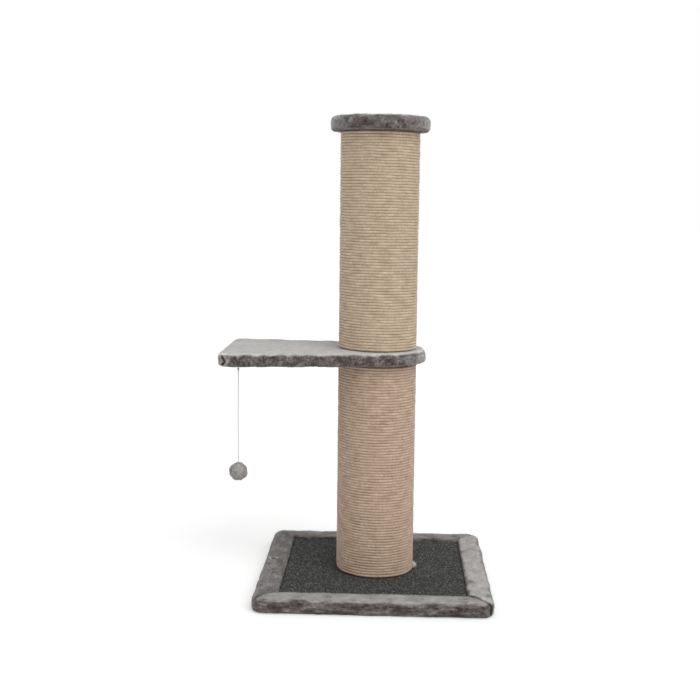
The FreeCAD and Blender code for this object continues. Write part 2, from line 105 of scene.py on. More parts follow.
def surface(name, points, closed_u=False, closed_v=False, uv=None):
    """Mesh object through a grid of points (u, v, 3); rows that fall together are merged, which closes
    a pole. uv gives each grid place its map place, with one more row or column where it closes."""
    rows, columns = points.shape[:2]
    u = np.arange(rows if closed_u else rows - 1)[:, None]
    v = np.arange(columns if closed_v else columns - 1)[None, :]
    u, v = np.broadcast_arrays(u, v)
    around = [(u, v), (u + 1, v), (u + 1, v + 1), (u, v + 1)]
    quads = np.stack([(a % rows) * columns + b % columns for a, b in around], -1).reshape(-1, 4)
    mesh = bpy.data.meshes.new(name)
    mesh.from_pydata(points.reshape(-1, 3), [], quads)
    if uv is not None:
        layer = mesh.uv_layers.new(name="cloth")
        placed = np.stack([uv[a, b] for a, b in around], -2).reshape(-1, 2)
        layer.data.foreach_set("uv", placed.astype(np.float32).ravel())
    made = bmesh.new()
    made.from_mesh(mesh)
    bmesh.ops.remove_doubles(made, verts=made.verts, dist=1e-7)
    bmesh.ops.recalc_face_normals(made, faces=made.faces)
    made.to_mesh(mesh)
    made.free()
    mesh.shade_smooth()
    piece = bpy.data.objects.new(name, mesh)
    bpy.context.scene.collection.objects.link(piece)
    return piece


def grid_normals(points, closed_u, closed_v):
    """Outward directions of a grid surface: the cross product of its differences along u and v."""
    along_u = np.roll(points, -1, 0) - np.roll(points, 1, 0)
    along_v = np.roll(points, -1, 1) - np.roll(points, 1, 1)
    if not closed_u:
        along_u[0], along_u[-1] = points[1] - points[0], points[-1] - points[-2]
    if not closed_v:
        along_v[:, 0], along_v[:, -1] = points[:, 1] - points[:, 0], points[:, -1] - points[:, -2]
    return unit(np.cross(along_u, along_v))


def rounded_outline(arcs, spacing):
    """Closed outline through arcs given as (centre x, centre y, radius, first angle, last angle) in
    degrees, joined by straight runs: points at even spacing, and their outward directions."""
    places, ways = [], []
    for x, y, radius, first, last in arcs:
        angles = np.radians(np.linspace(first, last, 200))
        way = np.stack([np.cos(angles), np.sin(angles)], -1)
        places.append(np.array([x, y]) + radius * way)
        ways.append(way)
    places, ways = np.concatenate(places), np.concatenate(ways)
    places, ways = np.vstack([places, places[:1]]), np.vstack([ways, ways[:1]])
    run = np.concatenate([[0], np.cumsum(np.linalg.norm(np.diff(places, axis=0), axis=1))])
    at = np.linspace(0, run[-1], int(run[-1] / spacing), endpoint=False)
    point = np.stack([np.interp(at, run, places[:, axis]) for axis in (0, 1)], -1)
    way = np.stack([np.interp(at, run, ways[:, axis]) for axis in (0, 1)], -1)
    return point, unit(way)


def resampled(corners, spacing, closed=False):
    """Evenly spaced points along a run of straight pieces."""
    corners = np.asarray(corners, float)
    if closed:
        corners = np.vstack([corners, corners[:1]])
    run = np.concatenate([[0], np.cumsum(np.linalg.norm(np.diff(corners, axis=0), axis=1))])
    count = max(2, int(round(run[-1] / spacing)) + (0 if closed else 1))
    at = np.linspace(0, run[-1], count, endpoint=not closed)
    return np.stack([np.interp(at, run, corners[:, axis]) for axis in range(corners.shape[1])], -1)


def raised(plan, height):
    """Grid places from plan places and a height for each column."""
    return np.concatenate([plan, np.broadcast_to(height, plan.shape[:2])[..., None]], -1)


def drawn_in(point, way, inset, share, hole):
    """Plan places inside an outline: for each column, its inset from the outline, and from there a
    share of the way to a round hole in the middle."""
    edge = point[:, None, :] - way[:, None, :] * inset[None, :, None]
    centre = unit(point)[:, None, :] * hole
    return edge * (1 - share)[None, :, None] + centre * share[None, :, None]


def capped(grid, first, last):
    """The grid with one more row at each end, drawn together to a point, which closes it."""
    ends = [np.broadcast_to(point, grid[0].shape)[None] for point in (first, last)]
    return np.concatenate([ends[0], grid, ends[1]])


def quarter(centre, reach, first, last, steps):
    """Points on an elliptic arc from one angle to another, in degrees."""
    angles = np.radians(np.linspace(first, last, steps))
    return np.stack([centre[0] + reach[0] * np.cos(angles), centre[1] + reach[1] * np.sin(angles)], -1)


def spread_over(points, closed_u, closed_v, count, seed, keep):
    """Random places on a grid surface, as likely on each cell as its share of the area, and the
    outward directions there. keep weighs each cell."""
    chance = np.random.default_rng(seed)
    rows, columns = points.shape[:2]
    u = np.arange(rows if closed_u else rows - 1)
    v = np.arange(columns if closed_v else columns - 1)
    u, v = (grid.ravel() for grid in np.meshgrid(u, v, indexing="ij"))
    corner = points[u, v]
    side_u = points[(u + 1) % rows, v] - corner
    side_v = points[u, (v + 1) % columns] - corner
    far = points[(u + 1) % rows, (v + 1) % columns]
    size = np.linalg.norm(np.cross(side_u, side_v), axis=1) * keep[u, v]
    cells = chance.choice(len(size), count, p=size / size.sum())
    a, b = chance.random((2, count, 1))
    place = (
        corner[cells] * (1 - a) * (1 - b)
        + (corner + side_u)[cells] * a * (1 - b)
        + (corner + side_v)[cells] * (1 - a) * b
        + far[cells] * a * b
    )
    return place, grid_normals(points, closed_u, closed_v)[u[cells], v[cells]]


def fibres(name, roots, ways, length, width, seed, droop=0.0, normals=None, rings=1):
    """Thin three-sided hairs: rings round each hair's line, the first at its root and each narrower
    than the last, and a point. The line bends by a share of the square of the way along it, and
    droops towards the floor. With normals, each hair is lit as the surface that it grows from."""
    chance = np.random.default_rng(seed)
    count = len(roots)
    length = length * chance.uniform(0.7, 1.15, (count, 1))
    across = unit(np.cross(ways, unit(chance.normal(size=(count, 3)))))
    other = np.cross(ways, across)
    bend = other * length * chance.normal(0, 0.15, (count, 1)) - np.array([0, 0, 1]) * length * droop
    round_it = TURN * np.arange(3) / 3
    points = []
    for step in range(rings):
        share = step / rings
        middle = roots + ways * length * share + bend * share**2
        reach = width / 2 * (1 - 0.5 * share)
        points += [middle + (across * math.cos(a) + other * math.sin(a)) * reach for a in round_it]
    points = np.stack(points + [roots + ways * length + bend], 1)
    tip = 3 * rings
    first = np.arange(count)[:, None] * (tip + 1)
    faces = []
    for low in range(tip):
        high = low - low % 3 + (low + 1) % 3
        side = [low, high, tip] if low >= tip - 3 else [low, high, high + 3, low + 3]
        faces += (first + np.array(side)).tolist()
    mesh = bpy.data.meshes.new(name)
    mesh.from_pydata(points.reshape(-1, 3), [], faces)
    mesh.shade_smooth()
    if normals is not None:
        mesh.normals_split_custom_set_from_vertices(np.repeat(normals, tip + 1, axis=0))
    piece = bpy.data.objects.new(name, mesh)
    bpy.context.scene.collection.objects.link(piece)
    return piece


def groove(places, route, width):
    """How deep places lie in a groove along a run of straight pieces: one on its line, and a Gaussian
    of the distance from it over the width."""
    nearest = np.full(places.shape[:-1], np.inf)
    for start, end in zip(np.asarray(route[:-1], float), np.asarray(route[1:], float)):
        chord = end - start
        share = np.clip((places - start) @ chord / (chord @ chord), 0, 1)
        away = places - start - share[..., None] * chord
        nearest = np.minimum(nearest, np.linalg.norm(away, axis=-1))
    return np.exp(-((nearest / width) ** 2))


def shade(piece, name, values):
    """Writes one number per vertex of the mesh as an attribute that its material reads."""
    layer = piece.data.attributes.new(name, "FLOAT", "POINT")
    layer.data.foreach_set("value", np.asarray(values, np.float32).ravel())


def places_of(mesh):
    """Places of a mesh's vertices as an array."""
    flat = np.zeros(len(mesh.vertices) * 3, np.float32)
    mesh.vertices.foreach_get("co", flat)
    return flat.reshape(-1, 3).astype(float)


def ways_of(mesh):
    """Outward directions of a mesh's vertices as an array."""
    flat = np.zeros(len(mesh.vertices) * 3, np.float32)
    mesh.vertex_normals.foreach_get("vector", flat)
    return flat.reshape(-1, 3).astype(float)


# Materials


def colour(code):
    """Linear colour of an sRGB hex code."""
    parts = [int(code[place : place + 2], 16) / 255 for place in (0, 2, 4)]
    return tuple(c / 12.92 if c <= 0.04045 else ((c + 0.055) / 1.055) ** 2.4 for c in parts) + (1.0,)


def material(name, **sockets):
    """New material and its Principled shader, with values for the shader's own sockets."""
    made = bpy.data.materials.new(name)
    made.use_nodes = True
    shader = made.node_tree.nodes["Principled BSDF"]
    for socket, value in sockets.items():
        shader.inputs[socket.replace("_", " ")].default_value = value
    return made, shader


def add(made, kind, inputs=None, **settings):
    """Adds a node with its settings, and links or values for its inputs."""
    new = made.node_tree.nodes.new("ShaderNode" + kind)
    for name, value in settings.items():
        setattr(new, name, value)
    for socket, value in (inputs or {}).items():
        if isinstance(value, bpy.types.NodeSocket):
            made.node_tree.links.new(value, new.inputs[socket])
        else:
            new.inputs[socket].default_value = value
    return new


def join(made, value, shader, socket):
    """Links a value to a socket of the shader."""
    made.node_tree.links.new(value, shader.inputs[socket])


def dress(piece, finish, body, slot, *nodes):
    """Gives a piece its material, the body that it rides on, and the nodes it stands for; slot is not
    used.
    """
    piece.data.materials.append(finish)
    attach(piece, body)
    if nodes:
        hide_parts(*nodes)


def plush(name, dark, light, patch=0.78, brushed=(1, 1, 1)):
    """Short-pile polyester plush, with its sheen and shade painted into its colour. Where the pile lies
    flat it is painted light and smooth, as its sheen; where it stands up it is painted dark, as the shade
    between its fibres, and mottled by patches that lean different ways. Its attribute says how flat the
    pile lies and so how much painted sheen it takes, from 0 to 1, and the tone follows its 2.2nd power,
    which looks even to the eye. Patches are drawn out along the way it was brushed."""
    made, shader = material(name, Roughness=0.9, Sheen_Weight=0.5, Sheen_Roughness=0.4)
    shader.inputs["Specular IOR Level"].default_value = 0.15
    place = add(made, "TexCoord").outputs["Object"]
    nap = add(made, "Attribute", attribute_name="nap").outputs["Fac"]
    drawn = add(made, "Mapping", {0: place, "Scale": brushed}).outputs[0]
    # Patches are about 15 mm across, tufts 4 mm and the tips of single tufts 1.5 mm
    patches = add(made, "TexNoise", {"Vector": drawn, "Scale": 66.0, "Detail": 2.0, "Distortion": 0.6})
    tufts = add(made, "TexNoise", {"Vector": drawn, "Scale": 240.0, "Detail": 2.0, "Roughness": 0.6})
    tips = add(made, "TexNoise", {"Vector": place, "Scale": 700.0, "Detail": 1.0})
    so_far = 0.0
    for noise, weight in ((patches, patch), (tufts, patch * 0.85), (tips, patch * 0.7)):
        off = add(made, "Math", {0: noise.outputs["Fac"], 1: 0.5}, operation="SUBTRACT")
        shares = {0: off.outputs[0], 1: weight, 2: so_far}
        total = add(made, "Math", shares, operation="MULTIPLY_ADD")
        so_far = total.outputs[0]
    loose = add(made, "MapRange", {0: nap, 1: 0.3, 2: 0.9, 3: 1.0, 4: 0.25})
    shares = {0: total.outputs[0], 1: loose.outputs[0], 2: nap}
    mottle = add(made, "Math", shares, operation="MULTIPLY_ADD", use_clamp=True)
    power = add(made, "Math", {0: mottle.outputs[0], 1: 2.2}, operation="POWER")
    # Painted sheen where the pile lies flat, painted shade between the fibres where it stands up
    tone = add(made, "Mix", {0: power.outputs[0], 6: colour(dark), 7: colour(light)}, data_type="RGBA")
    join(made, tone.outputs[2], shader, "Base Color")
    shares = {0: tips.outputs["Fac"], 1: 0.4, 2: total.outputs[0]}
    height = add(made, "Math", shares, operation="MULTIPLY_ADD")
    bump = add(made, "Bump", {"Height": height.outputs[0], "Strength": 0.45, "Distance": 0.0015})
    join(made, bump.outputs[0], shader, "Normal")
    return made


def sisal(name, pale, deep):
    """Twisted sisal: dry leaf fibre that shines a little along its threads. The map runs along the rope
    in metres and once round it, so the three strands' twist and the fibres' grain follow each turn."""
    made, shader = material(name, Roughness=0.72, Sheen_Weight=0.12, Sheen_Roughness=0.4)
    shader.inputs["Specular IOR Level"].default_value = 0.25
    place = add(made, "UVMap", uv_map="cloth").outputs[0]
    parts = add(made, "SeparateXYZ", {0: place})
    # One strand passes the outside of the rope about every 6 mm
    lay = add(made, "Math", {0: parts.outputs[0], 1: 1 / 0.0062}, operation="MULTIPLY")
    winding = {0: parts.outputs[1], 1: 3.0, 2: lay.outputs[0]}
    wound = add(made, "Math", winding, operation="MULTIPLY_ADD")
    angle = add(made, "Math", {0: wound.outputs[0], 1: TURN}, operation="MULTIPLY")
    strands = add(made, "Math", {0: angle.outputs[0]}, operation="SINE")
    # Fibres are about 0.3 mm wide and run with the strands; they are drawn at 0.6 mm to show
    grain_place = add(made, "CombineXYZ", {0: lay.outputs[0], 1: wound.outputs[0], 2: 0.0})
    stretched = add(made, "Mapping", {0: grain_place.outputs[0], "Scale": (0.35, 5.0, 1.0)})
    grain = add(made, "TexNoise", {"Vector": stretched.outputs[0], "Scale": 1.6, "Detail": 4.0})
    # The yarn differs in tone over some 30 mm of rope, and single strands over some 5 mm
    mixed = grain.outputs["Fac"]
    for scale, detail, weight in ((34.0, 3.0, 0.6), (210.0, 2.0, 0.3)):
        noise = {"W": parts.outputs[0], "Scale": scale, "Detail": detail}
        yarn = add(made, "TexNoise", noise, noise_dimensions="1D").outputs["Fac"]
        mixed = add(made, "Math", {0: yarn, 1: weight, 2: mixed}, operation="MULTIPLY_ADD").outputs[0]
    ramp = add(made, "MapRange", {0: mixed, 1: 0.64, 2: 1.25})
    tone = add(made, "Mix", {0: ramp.outputs[0], 6: colour(deep), 7: colour(pale)}, data_type="RGBA")
    join(made, tone.outputs[2], shader, "Base Color")
    ridges = {0: grain.outputs["Fac"], 1: 0.6, 2: strands.outputs[0]}
    height = add(made, "Math", ridges, operation="MULTIPLY_ADD")
    bump = add(made, "Bump", {"Height": height.outputs[0], "Strength": 0.5, "Distance": 0.0006})
    join(made, bump.outputs[0], shader, "Normal")
    return made


def mottled(name, low, high, size, roughness, strength, depth, metallic=0.0, stretch=(1, 1, 1)):
    """Material whose colour and bump follow one noise, size metres across its patches, with a bump
    of a strength and depth."""
    made, shader = material(name, Roughness=roughness, Metallic=metallic)
    place = add(made, "TexCoord").outputs["Object"]
    turned = add(made, "Mapping", {0: place, "Scale": stretch})
    noise = add(made, "TexNoise", {"Vector": turned.outputs[0], "Scale": 1 / size, "Detail": 4.0})
    ramp = add(made, "MapRange", {0: noise.outputs["Fac"], 1: 0.35, 2: 0.65})
    tone = add(made, "Mix", {0: ramp.outputs[0], 6: colour(low), 7: colour(high)}, data_type="RGBA")
    join(made, tone.outputs[2], shader, "Base Color")
    bump = add(made, "Bump", {"Height": noise.outputs["Fac"], "Strength": strength, "Distance": depth})
    join(made, bump.outputs[0], shader, "Normal")
    return made


def needle_felt(name):
    """Needle-punched polypropylene felt: charcoal fibre, matt and lumpy, in clumps of some 4 mm."""
    made, shader = material(name, Roughness=0.97)
    shader.inputs["Specular IOR Level"].default_value = 0.15
    place = add(made, "TexCoord").outputs["Object"]
    clumps = add(made, "TexNoise", {"Vector": place, "Scale": 240.0, "Detail": 3.0, "Roughness": 0.75})
    hairs = add(made, "TexNoise", {"Vector": place, "Scale": 900.0, "Detail": 2.0, "Roughness": 0.6})
    both = add(made, "Math", {0: clumps.outputs["Fac"], 1: hairs.outputs["Fac"]}, operation="ADD")
    ramp = add(made, "MapRange", {0: both.outputs[0], 1: 0.8, 2: 1.25})
    tone = add(
        made, "Mix", {0: ramp.outputs[0], 6: colour("232424"), 7: colour("525352")}, data_type="RGBA"
    )
    join(made, tone.outputs[2], shader, "Base Color")
    bump = add(made, "Bump", {"Height": both.outputs[0], "Strength": 0.8, "Distance": 0.0015})
    join(made, bump.outputs[0], shader, "Normal")
    return made


# Grey polyester plush: brown-black for the painted shade between the fibres, near white for the painted
# sheen where the pile lies over
PLUSH = ("3b2b29", "ebe9e6")
even_plush = plush("grey plush, brushed round", *PLUSH)
long_plush = plush("grey plush, brushed left to right", *PLUSH, brushed=(0.4, 1, 1.2))
deep_plush = plush("grey plush, brushed front to back", *PLUSH, brushed=(1, 0.4, 1.2))
# Clipped short and even, so it is paler and calmer
toy_plush = plush("clipped toy plush", "5a5654", "ebe9e6", patch=0.6)
# Raw twisted sisal; the lower post's rope is a little redder
lower_rope = sisal("sisal rope, lower", "dbc4ae", "a28770")
upper_rope = sisal("sisal rope, upper", "ddcbb3", "ac957a")
# Sisal combed out at its cut end: nearly white, dry threads
frayed = mottled("frayed pale sisal", "e6dfd2", "fbf8f2", 0.001, 0.7, 0.3, 0.0002)
felt = needle_felt("charcoal needle felt")
# Uncoloured fibres among the charcoal ones
stray = mottled("stray pale felt fibre", "8b8c89", "dcdcd8", 0.004, 0.9, 0.2, 0.0002)
# Open cells under 2 mm wide, cut across
foam = mottled("cut polyurethane foam", "d8d0b4", "e8e2cc", 0.0016, 0.9, 0.5, 0.0006)
# Pressed chips some 4 mm long that lie flat, so they look thinner on the edge
chipboard = mottled("raw chipboard", "b3946a", "d2b78d", 0.004, 0.8, 0.35, 0.0004, stretch=(1, 1, 3))
# Card wound in a spiral: matt, with faint bands
tube_card = mottled(
    "wound grey-brown card", "9c7f5f", "b59a78", 0.006, 0.85, 0.2, 0.0002, stretch=(1, 1, 4)
)
# Bright zinc plate on turned and stamped steel
zinc = mottled("zinc-plated steel", "b9bbbc", "d5d6d4", 0.003, 0.34, 0.1, 0.00005, metallic=1.0)
wire = mottled("galvanised staple wire", "a9abac", "cfd0cf", 0.002, 0.38, 0.1, 0.00005, metallic=1.0)
# Thin pressed fleece, matt and slightly lumpy
liner = mottled("black backing fleece", "2a2a2b", "3f3f40", 0.002, 0.95, 0.5, 0.0005)
# Braided polyester, its plaits about a millimetre long
twine = mottled(
    "light grey braided string", "b9b7b4", "dedcd8", 0.0009, 0.8, 0.7, 0.0003, stretch=(1, 1, 0.6)
)


# Plush covers of the shelf and the cap


def cover_grid(point, way, rim, crown, hole, middle_steps):
    """Grid of a plush cover. Round the outline run the section's places: rim holds (inset, height) from
    the hem's mouth under the board, round the edge and on to the top. From there the top runs
    straight in to the bolt hole, crowned by a share of sin squared. The inside follows one skin
    thickness below, back to the mouth."""
    rim = np.asarray(rim, float)
    slope = unit(np.gradient(rim, axis=0))
    inner = rim + np.stack([slope[:, 1], -slope[:, 0]], -1) * SKIN
    share = np.linspace(0, 1, middle_steps + 1)[1:]
    top, lower_top = rim[-1], inner[-1]
    inset = np.concatenate([rim[:, 0], np.full(middle_steps, top[0])])
    height = np.concatenate([rim[:, 1], np.full(middle_steps, top[1])])
    share_out = np.concatenate([np.zeros(len(rim)), share])
    lift = np.concatenate([np.zeros(len(rim)), crown * np.sin(np.pi * share) ** 2])
    inset = np.concatenate([inset, np.full(middle_steps, lower_top[0]), inner[::-1, 0]])
    height = np.concatenate([height + lift, np.full(middle_steps, lower_top[1]), inner[::-1, 1]])
    share_all = np.concatenate([share_out, share[::-1], np.zeros(len(rim))])
    return raised(drawn_in(point, way, inset, share_all, hole), height), len(rim) + middle_steps


def rim_of(bottom, top, hem, low_round, high_round):
    """Section of a cover from the hem's mouth to the top: flat hem, an elliptic turn up the edge, a
    slightly bellied side, and an elliptic turn on to the top."""
    hem_run = resampled([(hem, bottom), (low_round, bottom)], 0.004)[:-1]
    low = quarter((low_round, bottom + low_round), (-low_round, -low_round), 90, 0, 7)
    side = resampled([(0, bottom + low_round), (0, top - high_round)], 0.002)[1:-1]
    high = quarter((high_round, top - high_round), (-high_round, high_round), 0, 90, 9)
    return np.concatenate([hem_run, low, side, high])


# The shelf's straight sides touch the collar's circle and the corners' circles. They face this way,
# in degrees either side of +X
shelf_diagonal = math.hypot(SHELF_REACH, SHELF_END_HALF)
shelf_lean = math.degrees(
    math.atan2(SHELF_END_HALF, -SHELF_REACH) - math.acos(COLLAR / shelf_diagonal)
)
lean_x, lean_y = math.cos(math.radians(shelf_lean)), math.sin(math.radians(shelf_lean))
corner_x = -SHELF_REACH + SHELF_CORNER
corner_y = (COLLAR - SHELF_CORNER - lean_x * corner_x) / lean_y
shelf_arcs = [
    (0, 0, COLLAR, -shelf_lean, shelf_lean),
    (corner_x, corner_y, SHELF_CORNER, shelf_lean, 180),
    (corner_x, -corner_y, SHELF_CORNER, 180, 360 - shelf_lean),
]
cap_arcs = [(0, 0, CAP_RADIUS, 0, 360)]


def pile_over(name, grid, closed, keep, count, length, lean, seed, nap_and_sheen_at):
    """Pile fibres on the kept part of a plush grid, each leaning by a share of its length."""
    roots, normals = spread_over(grid, *closed, count, seed, keep)
    chance = np.random.default_rng(seed + 1)
    ways = unit(normals + np.asarray(lean) + chance.normal(0, 0.3, normals.shape))
    # The pile next to the floor is pressed outwards
    ways[roots[:, 2] < 0.004, 2] = 0.05
    piece = fibres(name, roots, unit(ways), length, 0.00045, seed + 2, normals=normals)
    # Each hair takes the painted sheen and shade of the cover where it grows
    shade(piece, "nap", np.repeat(nap_and_sheen_at(roots, normals), 4))
    return piece


def make_cover(name, node, arcs, rim, pile, crown, hole, seed, nap_and_sheen_at, folds=()):
    """Plush cover over an outline, with soft swells of half a millimetre. Each fold is a groove along a
    route, with its width, depth and the strength of the painted shade along its line, with a fainter
    painted highlight beside it. pile holds its hairs' count, length, lean and seed.
    The cover stays at rest where a post bears on it."""
    point, way = rounded_outline(arcs, 0.002)
    grid, shown = cover_grid(point, way, rim, crown, hole, 34)
    out = grid_normals(grid, True, True)
    # Outwards is up on the top
    if np.mean(out[:, shown - 10, 2]) < 0:
        out = -out
    lump = 0.0004 * swell(grid, 0.05, seed) + 0.00016 * swell(grid, 0.016, seed + 1)
    for route, width, depth, _ in folds:
        lump = lump - depth * groove(grid, route, width)
    edge_part = np.zeros(grid.shape[1])
    edge_part[: len(rim)] = 1
    edge_part[len(rim) : shown] = np.linspace(0.7, 0.1, shown - len(rim))
    free = np.ones(grid.shape[:2])
    if hole:
        free -= np.clip((BEARING - np.hypot(grid[..., 0], grid[..., 1])) / 0.012, 0, 1)
        free[:, : len(rim)] = 1
    grid = grid + out * (lump * edge_part * free)[..., None]
    piece = surface(name + "_cover", grid, True, True)

    def nap(places, ways):
        tone = nap_and_sheen_at(places, ways)
        # Painted shade along each fold's line, and a painted highlight to either side of it
        for route, width, _, dark in folds:
            beside = groove(places, route, width * 4)
            tone = tone + dark * (0.35 * beside - groove(places, route, width))
        return tone

    shade(piece, "nap", nap(places_of(piece.data), ways_of(piece.data)))
    dress(piece, even_plush, "post", "grey_plush", node)
    keep = np.zeros(grid.shape[:2])
    keep[:, :shown] = 1
    hair = pile_over(name + "_pile", grid, (True, True), keep, *pile, nap)
    dress(hair, even_plush, "post", "grey_plush")


def wandering(places, ways, seed):
    """How level the cover lies, with a line between top and rim that wanders along the edge: the
    outward direction's rise, and a swell that fades out on the level top."""
    rise = ways[:, 2]
    return rise + 0.1 * swell(places, 0.03, seed) * np.clip(1.05 - rise**4, 0, 1)


def shelf_nap_and_sheen(places, ways):
    """Tone of the shelf's pile: painted sheen on the top, where it is brushed flat, painted shade on the
    rim, where it stands up, painted sheen round the collar's right and a painted highlight along the low
    edge."""
    flat = np.clip((wandering(places, ways, 12) - 0.4) / 0.55, 0, 1)
    collar = np.clip(places[:, 0] / 0.1, 0, 1) ** 2.5
    low = np.clip((SHELF[0] + 0.004 - places[:, 2]) / 0.004, 0, 1)
    return 0.35 + 0.53 * flat + (0.26 * collar + 0.1 * low) * (1 - flat)


def cap_nap_and_sheen(places, ways):
    """Tone of the cap's pile: painted shade round the front and back, where it stands up, and painted
    sheen to the sides and on the top, where it lies flatter.
    """
    level = wandering(places, ways, 32)
    rim = np.clip((level - 0.25) / 0.4, 0, 1)
    top = np.clip((level - 0.8) / 0.2, 0, 1)
    return 0.38 + 0.30 * ways[:, 0] ** 4 + 0.08 * rim + 0.36 * top


def round_collar(radius, height, first, last):
    """Run of points round the collar at a height, from one angle to another in degrees."""
    angles = np.radians(np.linspace(first, last, 9))
    return np.stack([radius * np.cos(angles), radius * np.sin(angles), np.full(9, height)], -1)


def shelf_folds():
    """The cover's envelope folds at the blunt end's corners, each a bent groove from the top edge to the
    hem, and the lip that the cover's slack makes round the collar's right, each with painted shade along
    it."""
    folds = []
    for side in (-1, 1):
        bend = [(222, 0.4922), (236, 0.4880), (256, 0.4790), (252, 0.4750), (228, 0.4672)]
        corner = [
            (
                corner_x + SHELF_CORNER * math.cos(math.radians(angle)),
                -side * (corner_y - SHELF_CORNER * math.sin(math.radians(angle))),
                height,
            )
            for angle, height in bend
        ]
        # Strong painted shade in the corner folds
        folds.append((corner, 0.0022, 0.0020, 1.3))
    # Faint painted shade in the collar's lip
    folds.append((round_collar(0.0995, 0.4868, -62, 4), 0.0022, 0.0020, 0.25))
    folds.append((round_collar(0.1000, 0.4880, 4, 12), 0.0034, 0.0032, 0.2))
    return folds


make_cover(
    "shelf",
    "shelf_plush",
    shelf_arcs,
    rim_of(*SHELF, SHELF_HEM, 0.006, 0.0080),
    pile=(26000, 0.0024, (-1.0, 0, 0), 21),
    crown=0.0012,
    hole=BOLT_HOLE,
    seed=11,
    nap_and_sheen_at=shelf_nap_and_sheen,
    folds=shelf_folds(),
)
make_cover(
    "cap",
    "cap_plush",
    cap_arcs,
    rim_of(*CAP, CAP_HEM, 0.006, 0.0095),
    pile=(12000, 0.0025, (0, 0, -0.6), 41),
    crown=0.0,
    hole=0.0,
    seed=31,
    nap_and_sheen_at=cap_nap_and_sheen,
)


# Plush border of the base


def border_section():
    """Closed section of a plush strip as (distance in from the outer side, height): hem, outer side,
    crowned top, inner side down to the board, and back one skin thickness inside."""
    outer = np.concatenate(
        [
            resampled([(BORDER_HEM, 0), (0.007, 0)], 0.004)[:-1],
            quarter((0.007, 0.007), (-0.007, -0.007), 90, 0, 8),
            resampled([(0, 0.007), (0, 0.0195)], 0.0025)[1:-1],
            quarter((0.0115, 0.0195), (-0.0115, 0.0105), 0, 78, 11),
            resampled([(0.0115, 0.0300), (0.0235, BORDER_TOP), (0.0380, 0.0298)], 0.0025)[:-1],
            quarter((0.0390, 0.0215), (0.0080, 0.0083), 84, 0, 9),
            resampled([(0.0470, 0.0210), (0.0470, BOARD_TOP)], 0.0015)[:-1],
        ]
    )
    inner = resampled(
        [
            (BORDER_WIDTH - SKIN, BOARD_TOP),
            (BORDER_WIDTH - SKIN, 0.0235),
            (BORDER_WIDTH - 0.008, 0.0265),
            (0.012, 0.0265),
            (SKIN, 0.0195),
            (SKIN, BOARD_LOW),
            (BORDER_HEM, BOARD_LOW),
        ],
        0.004,
    )
    return outer, inner


# Share of a strip's run that is straight; the rest of it turns the corner
STRAIGHT = 0.96


def strip_path(inward, share):
    """Plan places of the front strip at distances in from the outer side, for shares from -1 to 1 of
    its run. Within the corner's radius the run is straight and ends in an eighth of a circle;
    further in it is straight to the mitre."""
    straight = np.where(inward < BASE_CORNER, BASE_HALF - BASE_CORNER, BASE_HALF - inward)
    bend = np.maximum(BASE_CORNER - inward, 0)
    along = np.clip(share / STRAIGHT, -1, 1)
    turned_share = np.clip((np.abs(share) - STRAIGHT) / (1 - STRAIGHT), 0, 1)
    turn = np.sign(share) * turned_share * math.pi / 4
    x = straight * along + bend * np.sin(turn)
    y = -(BASE_HALF - inward) + bend * (1 - np.cos(turn))
    return np.stack([x, y], -1)


# Places at the start of the section that lie flat against the board's underside
BORDER_FLAT = 9
# Each side's turn in degrees, how flat its pile lies on top and so how much painted sheen its top takes,
# how uneven it is, and its plush
SIDES = {
    "front": (0, 0.31, 1.0, long_plush),
    "right": (90, 0.41, 2.2, deep_plush),
    "back": (180, 0.19, 1.0, long_plush),
    "left": (270, 0.08, 1.0, deep_plush),
}
# Small dent in the top of the left strip, with painted shade in it
DENT = (-0.217, 0.012)
# How open the mitre seam is at each corner, by the signs of x and y: how far it sinks and how much painted
# shade lies along it
SEAMS = {(1, -1): 1.3, (1, 1): 0.3, (-1, 1): 0.3, (-1, -1): 0.15}


def turned(places, degrees):
    """Places turned about the post's axis."""
    angle = math.radians(degrees)
    x = places[..., 0] * math.cos(angle) - places[..., 1] * math.sin(angle)
    y = places[..., 0] * math.sin(angle) + places[..., 1] * math.cos(angle)
    return np.stack([x, y, places[..., 2]], -1)


def seam_at(places, width):
    """How near places lie to a mitre seam, from 0 to 1, by how open the seam is."""
    x, y = places[..., 0], places[..., 1]
    near = np.exp(-(((np.abs(x) - np.abs(y)) / math.sqrt(2) / width) ** 2))
    opening = sum(part * (x * sx > 0) * (y * sy > 0) for (sx, sy), part in SEAMS.items())
    return near * opening


def dent_at(places):
    """How deep places lie in the left strip's dent: a Gaussian 5 mm wide."""
    away = np.hypot(places[..., 0] - DENT[0], places[..., 1] - DENT[1])
    return np.exp(-((away / 0.005) ** 2))


